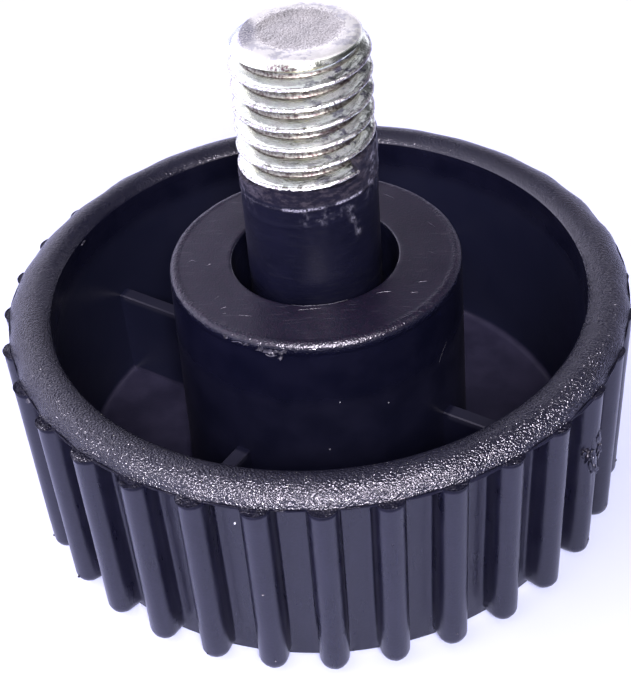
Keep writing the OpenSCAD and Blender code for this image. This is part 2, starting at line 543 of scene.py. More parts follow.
def build_thread(z_low, z_high, phase):
    """A long threaded rod, crest at height phase on azimuth 0 (degrees of part frame)."""
    prof = thread_profile()
    m = len(prof)
    S = 256
    turns = int((z_high - z_low) / PITCH) + 3
    rows = turns * m
    v = np.zeros((rows * S, 3))
    z_start = z_low - PITCH + (phase - z_low) % PITCH - PITCH
    for j in range(rows):
        fr, rad = prof[j % m]
        z = z_start + (j // m) * PITCH + fr * PITCH
        th = np.arange(S) * TAU / S
        h = z + PITCH * th / TAU
        fuller = 0.055 * smooth(h, 22.2, 22.6) * (1 - smooth(h, 29.4, 30.4)) * smooth(rad, 3.3, 3.8)
        P = cyl(rad, th, h)
        bare = smooth(h, 22.4, 22.8)
        burr = bare * (0.012 * noise3(P, 0.22, 91) + 0.010 * noise3(P, 0.7, 92)) * smooth(rad, 3.5, 3.85)
        soft = bare * 0.010 * fractal(P, 0.9, 93)
        lift = bare * 0.012 * noise3(P, 0.3, 94) * smooth(rad, 3.5, 3.85)
        v[j * S:(j + 1) * S] = cyl(rad + fuller + burr + soft, th, h + lift)
    f = []
    for j in range(rows - 1):
        for i in range(S - 1):
            f.append([j * S + i, j * S + i + 1, (j + 1) * S + i + 1, (j + 1) * S + i])
    for j in range(rows - 1 - m):
        # the seam: the end of row j meets the start of row j + m
        f.append([j * S + S - 1, (j + m) * S, (j + m + 1) * S, (j + 1) * S + S - 1])
    return v, f, rows, S, m


def build_stud():
    v, f, rows, S, m = build_thread(20.0, 33.5, PHASE)
    # caps: the open boundary at each end is closed by a fan to a point on the axis
    lo = [i for i in range(S)] + [j * S for j in range(1, m)][::1]
    ob = new_mesh("threaded_stud_bolt", v, f)
    bm = bmesh.new()
    bm.from_mesh(ob.data)
    bmesh.ops.remove_doubles(bm, verts=bm.verts, dist=1e-7)
    bnd = [e for e in bm.edges if e.is_boundary]
    loops = []
    left = set(bnd)
    while left:
        e = left.pop()
        loop = [e]
        grow = True
        vs = set(e.verts)
        while grow:
            grow = False
            for x in list(left):
                if x.verts[0] in vs or x.verts[1] in vs:
                    vs.update(x.verts)
                    loop.append(x)
                    left.discard(x)
                    grow = True
        loops.append(loop)
    for loop in loops:
        c = sum((e.verts[0].co + e.verts[1].co for e in loop), Vector()) / (2 * len(loop))
        top = c.z > 0.026
        z = (36.5 if top else 17.5) * MM
        apex = bm.verts.new((0, 0, z))
        for e in loop:
            bm.faces.new((e.verts[0], e.verts[1], apex))
    bmesh.ops.recalc_face_normals(bm, faces=bm.faces)
    bm.to_mesh(ob.data)
    bm.free()
    # envelope: the bolt's own outline from head to bevelled end
    E = Rings()
    S2 = 192
    th = np.arange(S2) * TAU / S2
    E.pole((0, 0, 21.2))
    for r, z in ((2.5, 21.2), (3.45, 21.2), (3.6, 21.35), (4.2, 21.95), (4.2, 30.1)):
        E.ring(cyl(r, th, z))
    # the sheared end: a grainy, slightly sunk middle inside a rounded, rubbed ring
    for r, z in ((3.97, 30.42), (3.66, 30.74), (3.50, 30.90), (3.45, 30.98), (3.37, 31.04), (3.24, 31.08), (3.05, 31.1), (2.75, 31.1), (2.5, 31.095), (2.3, 31.08), (2.1, 31.05), (1.8, 31.03), (1.2, 31.03), (0.6, 31.03)):
        P = cyl(r, th, z)
        P[:, 0] += 0.04 * smooth(r, 2.0, 3.2)
        P[:, 1] -= 0.02 * smooth(r, 2.0, 3.2)
        P[:, 2] = np.minimum(P[:, 2] + 0.03 * fractal(P, 0.8, 81), 31.1)
        E.ring(P)
    ve, fe = E.arrays()
    s, c = E.last[0], len(ve)
    ve = np.vstack([ve, [[0, 0, 31.03]]])
    fe = fe + [[s + i, s + (i + 1) % S2, c] for i in range(S2)]
    env = new_mesh("envelope", ve, fe)
    clean(env)
    boolean(ob, env, "INTERSECT")
    bpy.data.objects.remove(env)
    # shank and hexagon head inside the plastic
    H = Rings()
    th = np.arange(96) * TAU / 96
    H.pole((0, 0, 5.6))
    for r, z in ((3.0, 5.6), (3.5, 5.6), (3.5, 12), (3.5, 18), (3.5, 21.6)):
        H.ring(cyl(r, th, z))
    vh, fh = H.arrays()
    s, c = H.last[0], len(vh)
    vh = np.vstack([vh, [[0, 0, 21.6]]])
    fh = fh + [[s + i, s + (i + 1) % 96, c] for i in range(96)]
    sh = new_mesh("shank", vh, fh)
    clean(sh)
    boolean(ob, sh, "UNION")
    bpy.data.objects.remove(sh)
    v, f = [], []
    for z, rr in ((0.8, 6.2), (1.15, 6.5 / math.cos(math.pi / 6)), (6.1, 6.5 / math.cos(math.pi / 6))):
        for k in range(6):
            v.append((rr * math.cos(k * math.pi / 3), rr * math.sin(k * math.pi / 3), z))
    for i in range(2):
        for j in range(6):
            q = (j + 1) % 6
            f.append([i * 6 + j, i * 6 + q, (i + 1) * 6 + q, (i + 1) * 6 + j])
    f.append([5, 4, 3, 2, 1, 0])
    f.append([12, 13, 14, 15, 16, 17])
    hd = new_mesh("head", v, f)
    clean(hd)
    boolean(ob, hd, "UNION")
    bpy.data.objects.remove(hd)
    return ob


# ---------------------------------------------------------------- knocks and scratches
class Shells:
    """Many small closed shells kept in one mesh."""

    def __init__(self, seed):
        self.v, self.f, self.n = [], [], 0
        self.rng = np.random.RandomState(seed)
        bm = bmesh.new()
        bmesh.ops.create_icosphere(bm, subdivisions=2, radius=1.0)
        self.bv = np.array([q.co[:] for q in bm.verts])
        self.bf = [[q.index for q in k.verts] for k in bm.faces]
        bm.free()
        bm = bmesh.new()
        bmesh.ops.create_icosphere(bm, subdivisions=3, radius=1.0)
        self.cv = np.array([q.co[:] for q in bm.verts])
        self.cf = [[q.index for q in k.verts] for k in bm.faces]
        bm.free()

    def add(self, v, f):
        self.v.append(np.asarray(v, float))
        self.f.extend([[i + self.n for i in k] for k in f])
        self.n += len(v)

    def blob(self, p, nrm, size, turn=0.0, rough=0.3, fine=False):
        """Lump at p: size is (along, across, into) half extents; along lies level."""
        nrm = np.asarray(nrm, float) / np.linalg.norm(nrm)
        along = np.cross((0, 0, 1), nrm) if abs(nrm[2]) < 0.9 else np.array([1.0, 0, 0])
        along = along / np.linalg.norm(along)
        across = np.cross(nrm, along)
        t = math.radians(turn)
        along, across = math.cos(t) * along + math.sin(t) * across, -math.sin(t) * along + math.cos(t) * across
        k = self.rng.randint(1, 9999)
        bv = self.cv if fine else self.bv
        q = bv * (1 + rough * noise3(bv + k, 0.45 if fine else 0.8, k))[:, None]
        self.add(np.asarray(p, float) + q[:, :1] * size[0] * along + q[:, 1:2] * size[1] * across + q[:, 2:] * size[2] * nrm, self.cf if fine else self.bf)

    def sliver(self, pts, nrm, w, d, proud=0.08):
        """Long thin groove or ridge through pts, tapering to both ends."""
        pts = np.asarray(pts, float)
        leg = np.r_[0, np.cumsum(np.linalg.norm(np.diff(pts, axis=0), axis=1))]
        n = max(6, int(leg[-1] / 0.08))
        u = np.linspace(0, 1, n + 2)
        line = np.stack([np.interp(u * leg[-1], leg, pts[:, k]) for k in range(3)], 1)
        nr = np.asarray(nrm, float)
        nr = np.tile(nr, (n + 2, 1)) if nr.ndim == 1 else np.stack([np.interp(u * leg[-1], leg, nr[:, k]) for k in range(3)], 1)
        nr = nr / np.linalg.norm(nr, axis=1)[:, None]
        tan = np.gradient(line, axis=0)
        side = np.cross(tan, nr)
        side = side / np.linalg.norm(side, axis=1)[:, None]
        line = line + side * (0.3 * w * self.rng.randn(n + 2))[:, None]
        v, f = [line[0]], []
        for i in range(1, n + 1):
            k = (1 - abs(2 * u[i] - 1) ** 3) * (0.7 + 0.5 * self.rng.rand())
            v += [line[i] + side[i] * w * k, line[i] - nr[i] * d * k, line[i] - side[i] * w * k, line[i] + nr[i] * proud * k]
        v.append(line[-1])
        last = len(v) - 1
        for q in range(4):
            r = (q + 1) % 4
            f.append([0, 1 + q, 1 + r])
            f.append([last, last - 4 + r, last - 4 + q])
            for i in range(n - 1):
                a = 1 + 4 * i
                f.append([a + q, a + 4 + q, a + 4 + r, a + r])
        self.add(v, f)

    def apply(self, ob, op, name, mat):
        cut = new_mesh(name, np.concatenate(self.v), self.f)
        clean(cut, 0.0005)
        cut.data.materials.append(mat)
        boolean(ob, cut, op)
        bpy.data.objects.remove(cut, do_unlink=True)


def at(a, r, z, low=False):
    """Point and outward direction at azimuth a; low: on the offset lower half."""
    t = math.radians(a)
    n = np.array([math.cos(t), math.sin(t), 0.0])
    return n * r + np.array([SHIFT[0] if low else 0.0, SHIFT[1] if low else 0.0, z]), n


def rib_face(z):
    return rib_axis(z) + 0.86


def mark_body(ob, mat, skin):
    cut, grow, tear = Shells(5), Shells(6), Shells(7)
    top = (0, 0, 1)
    hub_z = 16.2
    for line, w, d in (
            ([(-7.74, -0.2), (-7.42, 0.09), (-7.07, -0.11)], 0.035, 0.035),
            ([(-6.56, -0.62), (-6.27, -0.4)], 0.05, 0.045),
            ([(-5.98, -3.92), (-5.67, -3.63)], 0.035, 0.035),
            ([(-5.64, -4.9), (-5.21, -4.68)], 0.035, 0.04),
            ([(-5.47, -5.37), (-5.18, -5.24)], 0.025, 0.03),
            ([(-4.53, -5.53), (-3.72, -5.72)], 0.02, 0.02),
            ([(3.42, -4.3), (3.91, -4.2), (4.4, -4.21)], 0.02, 0.018),
            ([(5.88, -3.48), (6.49, -3.43)], 0.024, 0.022),
            ([(5.4, -4.43), (5.92, -4.41)], 0.016, 0.015),
            ([(6.68, -0.47), (7.24, -0.84)], 0.025, 0.025),
            ([(-1.31, -5.43), (-0.39, -5.37), (0.53, -5.35)], 0.022, 0.025),
            ([(4.4, 5.9), (5.1, 5.3)], 0.03, 0.025),
            ([(-3.1, 6.9), (-2.2, 7.4)], 0.03, 0.025),
            ([(6.9, 2.6), (7.4, 1.9)], 0.025, 0.025)):
        cut.sliver([(x, y, hub_z) for x, y in line], top, 0.75 * w, 0.8 * d)
    # burr left standing along the front of the recess
    grow.sliver([(-1.54, -4.87, 16.19), (-0.84, -5.05, 16.19), (0.08, -5.07, 16.19), (0.83, -5.02, 16.19), (1.93, -4.69, 16.19)], top, 0.03, 0.04, 0.02)
    # chips along the hub's front edge, one with its burr still hanging
    for a, z, sz, dp, tn in ((-127, 15.86, (0.16, 0.15, 0.13), -0.02, 0), (-117.5, 15.84, (0.26, 0.10, 0.12), -0.02, 8),
                             (-111.9, 15.70, (0.24, 0.15, 0.15), 0.02, 20), (-107.6, 15.58, (0.36, 0.20, 0.16), 0.03, -8),
                             (-102.9, 15.72, (0.24, 0.12, 0.13), 0.02, 14)):
        q, n = at(a, 8.80 + dp, z)
        cut.blob(q, n, sz, turn=tn, rough=0.75, fine=True)
    for pts in ([(-124, 15.70), (-121, 15.86), (-119, 15.80)], [(-114.6, 15.86), (-112.8, 16.02), (-110.9, 15.93)],
                [(-110.2, 15.44), (-108, 15.33), (-105.4, 15.45)], [(-106.4, 15.85), (-104.6, 15.70), (-104.2, 15.46)]):
        pq = [at(a, 8.80 - max(0.0, z - 15.78) * 0.55, z) for a, z in pts]
        grow.sliver([q for q, n in pq], [n for q, n in pq], 0.035, 0.05, 0.06)
    q, n = at(-104.2, 8.85, 15.30)
    grow.blob(q, n, (0.12, 0.09, 0.08), turn=30, rough=0.75, fine=True)
    for a, z in ((-83.5, 11.96), (-64.7, 11.04), (-88.6, 8.47)):
        q, n = at(a, 8.84 + 0.02 * (13 - z), z)
        grow.blob(q, n, (0.05, 0.05, 0.06), rough=0.2)
    pts = [at(a, 8.80 + 0.22 * (16.2 - z) / 15, z) for a, z in ((-31.1, 12.84), (-35.2, 12.31), (-39.6, 11.48))]
    cut.sliver([q for q, n in pts], [n for q, n in pts], 0.03, 0.03)
    # rim
    q, n = at(-6.7, 16.28, 13.55)
    cut.blob(q, -n + (0, 0, 0.5), (0.16, 0.10, 0.10))
    q, n = at(157, 16.26, 13.6)
    grow.blob(q, -n + (0, 0, 0.6), (0.28, 0.10, 0.09))
    # ribs
    for k, a, z, sz in ((0, -101.0, 7.1, (0.16, 0.10, 0.10)), (3, -64.9, 7.82, (0.10, 0.14, 0.10)), (-5, -158.6, 6.1, (0.12, 0.2, 0.09)),
                        (9, 0.6, 5.2, (0.12, 0.22, 0.09)), (14, 56.6, 8.9, (0.13, 0.2, 0.1)), (19, 113.0, 4.4, (0.12, 0.26, 0.1))):
        off = math.radians(a - (-101.25 + 11.25 * k)) * 18.6
        q, n = at(a, rib_face(z) + 0.045 - 0.5 * off * off, z, True)
        cut.blob(q, n, sz)
    q, n = at(-106.1, 17.37, 10.93, True)
    grow.blob(q, n, (0.06, 0.07, 0.08), rough=0.2)
    pts = [at(a, rib_face(z) + 0.0, z, True) for a, z in ((-78.8, 10.62), (-79.1, 10.56), (-79.15, 10.42), (-78.9, 10.32))]
    cut.sliver([q for q, n in pts], [n for q, n in pts], 0.03, 0.04)
    # the torn, crumpled place beside the seventh rib
    rng = np.random.RandomState(12)
    for i in range(26):
        a = -41.2 + 0.40 * i
        off = math.radians(a + 33.75) * 18.6
        z = 11.8 - 0.10 * i - 2.6 * rng.rand()
        face = max(wall_r(z), rib_face(z) - 0.62 * off * off) if abs(off) < 0.95 else wall_r(z)
        q, n = at(a, face + 0.02, z, True)
        (cut if i % 9 == 4 else tear).blob(q, n, (0.13 + 0.10 * rng.rand(), 0.20 + 0.30 * rng.rand(), 0.10 + 0.08 * rng.rand()), turn=rng.uniform(-50, 50), rough=0.8, fine=i % 2 == 0)
    # film torn from the rim, hanging beside the same rib
    for a, z0, z1 in ((-40.2, 12.5, 11.2), (-38.9, 12.0, 10.4), (-29.2, 12.2, 10.9)):
        off = math.radians(a + 33.75) * 18.6
        r0 = wall_r(z0) if abs(off) > 0.95 else max(wall_r(z0), rib_face(z0) - 0.62 * off * off)
        pq = [at(a + 0.5 * t, r0, z0 + (z1 - z0) * t, True) for t in (0, 0.4, 0.75, 1)]
        tear.sliver([q for q, n in pq], [n for q, n in pq], 0.06, 0.06, 0.12)
    # frayed feet of the ribs
    for k in range(-6, 26, 1):
        if rng.rand() < 0.55:
            a = -101.25 + 11.25 * k + rng.uniform(-1.6, 1.6)
            z = rng.uniform(0.75, 1.6)
            off = math.radians(a - (-101.25 + 11.25 * k)) * 18.6
            q, n = at(a, rib_face(z) - 0.62 * off * off - 0.03, z, True)
            grow.blob(q, n, (0.06 + 0.06 * rng.rand(), 0.05 + 0.05 * rng.rand(), 0.09), rough=0.5)
    # a curl of flash at the parting line
    q = np.array([-17.67, -8.33, 12.9])
    q[:2] *= 18.62 / np.hypot(q[0], q[1])
    n = np.array([q[0], q[1], 0]) / np.hypot(q[0], q[1])
    grow.blob(q, n, (0.24, 0.22, 0.26), rough=0.45)
    cut.apply(ob, "DIFFERENCE", "cutter", mat)
    grow.apply(ob, "UNION", "flakes", mat)
    tear.apply(ob, "UNION", "tears", skin)


def drop_crumbs(ob, least=200):
    """Remove the loose shells that cutting has left."""
    bm = bmesh.new()
    bm.from_mesh(ob.data)
    seen, drop = set(), []
    for v in bm.verts:
        if v in seen:
            continue
        seen.add(v)
        stack, shell = [v], []
        while stack:
            p = stack.pop()
            shell.append(p)
            for e in p.link_edges:
                o = e.other_vert(p)
                if o not in seen:
                    seen.add(o)
                    stack.append(o)
        if len(shell) < least:
            drop += shell
    bmesh.ops.delete(bm, geom=drop, context="VERTS")
    bm.to_mesh(ob.data)
    bm.free()
    ob.data.update()


def mark_stud(ob, mat):
    cut = Shells(8)
    for q0, sz in (((-2.77, -2.89, 27.36), (0.12, 0.20, 0.10)), ((-2.38, -3.21, 28.71), (0.14, 0.12, 0.09)), ((-3.6, 1.6, 27.1), (0.2, 0.12, 0.1)),
                   ((2.1, 3.3, 26.0), (0.16, 0.12, 0.1)), ((0.6, 3.9, 28.9), (0.22, 0.1, 0.1))):
        q = np.array(q0)
        n = np.array([q[0], q[1], 0]) / np.hypot(q[0], q[1])
        q[:2] = n[:2] * 3.99
        cut.blob(q, n, sz)
    # where the shear dragged the end's far edge
    for a, w in ((128, 0.22), (153, 0.26), (174, 0.30)):
        q, n = at(a, 3.66, 31.02)
        cut.blob(q, n + (0, 0, 0.7), (w, 0.12, 0.10), turn=8)
    cut.apply(ob, "DIFFERENCE", "cutter", mat)


def rough_feet(ob):
    """The rounded feet of the ribs are pitted where the mould filled last."""
    me = ob.data
    co = np.zeros(len(me.vertices) * 3)
    me.vertices.foreach_get("co", co)
    P = co.reshape(-1, 3) / MM
    q = P - np.array([SHIFT[0], SHIFT[1], 0.0])
    r = np.hypot(q[:, 0], q[:, 1])
    k = smooth(r, 17.3, 17.7) * (1 - smooth(P[:, 2], 1.4, 2.6)) * smooth(P[:, 2], 0.05, 0.3)
    d = k * 0.05 * (fractal(P, 0.5, 61) + 0.6 * np.clip(noise3(P, 1.3, 62), 0, 1) * noise3(P, 0.25, 63))
    P[:, :2] += q[:, :2] / np.maximum(r, 1)[:, None] * d[:, None]
    me.vertices.foreach_set("co", (P * MM).ravel())
    me.update()


body = build_body()
rough_feet(body)
build_webs(body)
stud = build_stud()
boolean(body, stud, "DIFFERENCE")
body.data.materials.clear()
stud.data.materials.clear()

# ---------------------------------------------------------------- materials
class Graph:
    """Short calls for building a node tree."""

    def __init__(self, tree):
        self.t = tree

    def put(self, sock, v):
        if isinstance(v, bpy.types.NodeSocket):
            self.t.links.new(v, sock)
        else:
            sock.default_value = v

    def math(self, op, a, b=None, c=None, clamp=False):
        n = self.t.nodes.new("ShaderNodeMath")
        n.operation = op
        n.use_clamp = clamp
        for i, v in enumerate((a, b, c)):
            if v is not None:
                self.put(n.inputs[i], v)
        return n.outputs[0]

    def ramp(self, x, lo, hi, a=0.0, b=1.0):
        n = self.t.nodes.new("ShaderNodeMapRange")
        n.interpolation_type = "SMOOTHSTEP"
        self.put(n.inputs["Value"], x)
        n.inputs["From Min"].default_value = lo
        n.inputs["From Max"].default_value = hi
        n.inputs["To Min"].default_value = a
        n.inputs["To Max"].default_value = b
        return n.outputs[0]

    def mix(self, f, a, b):
        n = self.t.nodes.new("ShaderNodeMix")
        n.data_type = "RGBA"
        self.put(n.inputs[0], f)
        self.put(n.inputs[6], a if isinstance(a, bpy.types.NodeSocket) else (*a, 1))
        self.put(n.inputs[7], b if isinstance(b, bpy.types.NodeSocket) else (*b, 1))
        return n.outputs[2]

    def times(self, vec, by):
        n = self.t.nodes.new("ShaderNodeVectorMath")
        n.operation = "MULTIPLY"
        self.put(n.inputs[0], vec)
        n.inputs[1].default_value = by
        return n.outputs[0]

    def dot(self, vec, by):
        n = self.t.nodes.new("ShaderNodeVectorMath")
        n.operation = "DOT_PRODUCT"
        self.put(n.inputs[0], vec)
        n.inputs[1].default_value = Vector(by).normalized()
        return n.outputs["Value"]

    def noise(self, vec, scale, detail=2.0, rough=0.5, warp=0.0):
        n = self.t.nodes.new("ShaderNodeTexNoise")
        self.put(n.inputs["Vector"], vec)
        n.inputs["Scale"].default_value = scale
        n.inputs["Detail"].default_value = detail
        n.inputs["Roughness"].default_value = rough
        n.inputs["Distortion"].default_value = warp
        return n.outputs[0]

    def cells(self, vec, scale, feature="F1"):
        n = self.t.nodes.new("ShaderNodeTexVoronoi")
        n.feature = feature
        self.put(n.inputs["Vector"], vec)
        n.inputs["Scale"].default_value = scale
        return n

    def where(self):
        """Object coordinates in mm, with radius from the axis and height."""
        tc = self.t.nodes.new("ShaderNodeTexCoord")
        mm = self.times(tc.outputs["Object"], (1000, 1000, 1000))
        sep = self.t.nodes.new("ShaderNodeSeparateXYZ")
        self.t.links.new(mm, sep.inputs[0])
        x, y, z = sep.outputs
        r = self.math("SQRT", self.math("ADD", self.math("MULTIPLY", x, x), self.math("MULTIPLY", y, y)))
        return mm, x, y, z, r

    def bump(self, height, strength=1.0, dist=0.001):
        n = self.t.nodes.new("ShaderNodeBump")
        self.put(n.inputs["Height"], height)
        n.inputs["Strength"].default_value = strength
        n.inputs["Distance"].default_value = dist
        return n.outputs[0]


def mat(name):
    m = bpy.data.materials.new(name)
    m.use_nodes = True
    return m, Graph(m.node_tree), m.node_tree.nodes["Principled BSDF"]


def plastic(name, scuffed=False):
    m, g, bs = mat(name)
    mm, x, y, z, r = g.where()
    at = g.t.nodes.new("ShaderNodeAttribute")
    at.attribute_name = "wear"
    wear = at.outputs["Fac"]
    both = lambda a, b: g.math("MULTIPLY", a, b)
    on_rim = both(g.ramp(z, 13.22, 13.32), g.ramp(r, 16.15, 16.4))
    parting = both(both(g.ramp(z, 12.95, 13.1), g.ramp(z, 13.37, 13.31)), g.ramp(r, 17.6, 17.9))
    on_hub = both(g.ramp(z, 15.9, 16.1), both(g.ramp(r, 5.0, 5.2), g.ramp(r, 8.85, 8.7)))
    on_sleeve = both(g.ramp(z, 15.2, 15.8), g.ramp(r, 4.5, 4.3))
    on_floor = both(both(g.ramp(z, 1.75, 1.45), g.ramp(z, 1.0, 1.2)), g.ramp(r, 16.3, 16.0))
    in_cup = both(both(g.ramp(z, 12.6, 11.2), g.ramp(z, 1.0, 1.2)), g.ramp(r, 16.35, 16.2))
    hub_edge = both(both(g.ramp(r, 8.1, 8.4), g.ramp(r, 9.1, 8.95)), g.ramp(z, 15.4, 15.7))
    outside = both(g.ramp(r, 16.7, 17.0), g.ramp(z, 13.35, 13.2))
    web_top = both(both(g.ramp(r, 9.1, 9.4), g.ramp(r, 15.9, 15.6)), both(g.ramp(z, 7.1, 7.4), g.ramp(z, 8.2, 7.9)))
    fine = g.noise(mm, 5.2, 2.0, 0.6)
    grit = g.noise(mm, 9.0, 1.0, 0.5)
    broad = g.noise(mm, 0.45, 3.0, 0.55)
    tall = g.noise(g.times(mm, (1.0, 1.0, 0.12)), 2.6, 3.0, 0.6)
    flat = g.noise(g.times(mm, (1.0, 1.0, 5.0)), 1.1, 3.0, 0.6)
    # colour: nearly black, a little blue, greyer where the skin is worn; painted light makes the cup's floor, inner
    # wall and web tops lighter
    c = g.mix(g.ramp(broad, 0.3, 0.7), (0.0025, 0.0027, 0.0092), (0.0037, 0.0038, 0.0122))
    c = g.mix(both(on_rim, g.ramp(grit, 0.45, 0.75)), c, (0.0055, 0.0045, 0.011))
    c = g.mix(both(outside, g.ramp(tall, 0.55, 0.8, 0.0, 0.6)), c, (0.009, 0.0092, 0.024))
    # painted light: the cup's floor is made lighter than the same plastic elsewhere, standing in for the light falling
    # on it
    c = g.mix(both(on_floor, g.ramp(broad, 0.25, 0.75, 0.5, 1.0)), c, (0.023, 0.020, 0.039))
    c = g.mix(both(on_sleeve, g.ramp(flat, 0.48, 0.70, 0.0, 0.7)), c, (0.0065, 0.0065, 0.0135))
    # painted light: the cup's inner wall above the floor is made lighter than the same plastic elsewhere
    c = g.mix(both(both(in_cup, g.ramp(r, 11.0, 13.0)), g.ramp(on_floor, 1.0, 0.0)), c, (0.0055, 0.006, 0.0165))
    c = g.mix(both(outside, g.ramp(fine, 0.42, 0.66, 0.0, 0.55)), c, (0.0075, 0.0065, 0.0175))
    # painted highlight: the upward-facing tops of the webs are made lighter
    c = g.mix(web_top, c, (0.013, 0.0125, 0.024))
    c = g.mix(both(on_hub, g.ramp(fine, 0.40, 0.62, 0.0, 0.9)), c, (0.0085, 0.0036, 0.0130))
    # rubbed lines across the hub's face, and the film over the thread gone pale in blotches
    rubbed = g.noise(g.times(mm, (0.30, 3.4, 1.0)), 2.4, 2.0, 0.55)
    c = g.mix(both(both(on_hub, g.ramp(broad, 0.40, 0.56)), g.ramp(rubbed, 0.60, 0.70, 0.0, 0.75)), c, (0.030, 0.026, 0.036))
    film = both(g.ramp(z, 22.15, 22.4), g.ramp(r, 4.5, 4.3))
    mottle = g.noise(g.times(mm, (1.0, 1.0, 1.8)), 2.1, 4.0, 0.7)
    c = g.mix(both(film, g.ramp(mottle, 0.44, 0.66, 0.12, 0.9)), c, (0.042, 0.035, 0.043))
    c = g.mix(both(both(film, g.ramp(x, -2.2, -3.5, 0.0, 0.8)), g.ramp(mottle, 0.36, 0.58)), c, (0.062, 0.054, 0.068))
    if scuffed:
        c = g.mix(g.ramp(fine, 0.3, 0.7), (0.008, 0.0075, 0.015), (0.045, 0.042, 0.06))
        c = g.mix(wear, c, (0.75, 0.73, 0.78))
    else:
        c = g.mix(both(wear, g.ramp(grit, 0.30, 0.60)), c, (0.48, 0.45, 0.52))
    g.put(bs.inputs["Base Color"], c)
    # gloss
    ro = g.math("ADD", 0.24, both(outside, g.ramp(tall, 0.3, 0.7, 0.03, 0.11)))
    ro = g.math("ADD", ro, g.ramp(broad, 0.3, 0.7, -0.02, 0.03))
    ro = g.math("ADD", ro, g.math("MULTIPLY", on_rim, 0.02))
    ro = g.math("ADD", ro, g.math("MULTIPLY", parting, 0.15))
    ro = g.math("ADD", ro, g.math("MULTIPLY", in_cup, 0.15))
    ro = g.math("ADD", ro, g.math("MULTIPLY", on_hub, 0.12))
    ro = g.math("ADD", ro, g.math("MULTIPLY", on_sleeve, 0.16))
    ro = g.math("ADD", ro, g.math("MULTIPLY", wear, 0.25))
    if scuffed:
        ro = g.ramp(fine, 0.3, 0.7, 0.38, 0.6)
    g.put(bs.inputs["Roughness"], ro)
    bs.inputs["IOR"].default_value = 1.47
    # the mould left the grooves and hollows duller than the handled faces
    dull = g.math("SUBTRACT", 0.5, g.math("MULTIPLY", parting, 0.38))
    dull = g.math("SUBTRACT", dull, g.math("MULTIPLY", in_cup, 0.34))
    dull = g.math("SUBTRACT", dull, g.math("MULTIPLY", on_sleeve, 0.40))
    dull = g.math("SUBTRACT", dull, g.math("MULTIPLY", hub_edge, 0.12))
    dull = g.math("SUBTRACT", dull, both(on_hub, g.ramp(x, 2.0, 6.5, 0.0, 0.11)))
    dull = g.math("ADD", dull, g.math("MULTIPLY", web_top, 0.14))
    g.put(bs.inputs["Specular IOR Level"], dull)
    # relief, in mm
    h = both(g.math("MULTIPLY", g.math("ADD", grit, g.math("MULTIPLY", fine, 0.25)), g.ramp(y, -4.0, 9.0, 0.110, 0.05)), on_rim)
    h = g.math("ADD", h, both(g.math("MULTIPLY", tall, 0.010), outside))
    h = g.math("ADD", h, both(g.math("MULTIPLY", fine, 0.006), g.ramp(on_rim, 1.0, 0.0)))
    h = g.math("ADD", h, both(g.math("MULTIPLY", flat, 0.012), on_sleeve))
    h = g.math("ADD", h, both(g.math("MULTIPLY", grit, 0.013), on_hub))
    h = g.math("ADD", h, both(g.math("MULTIPLY", g.math("ADD", grit, fine), 0.034), hub_edge))
    g.put(bs.inputs["Normal"], g.bump(h))
    return m


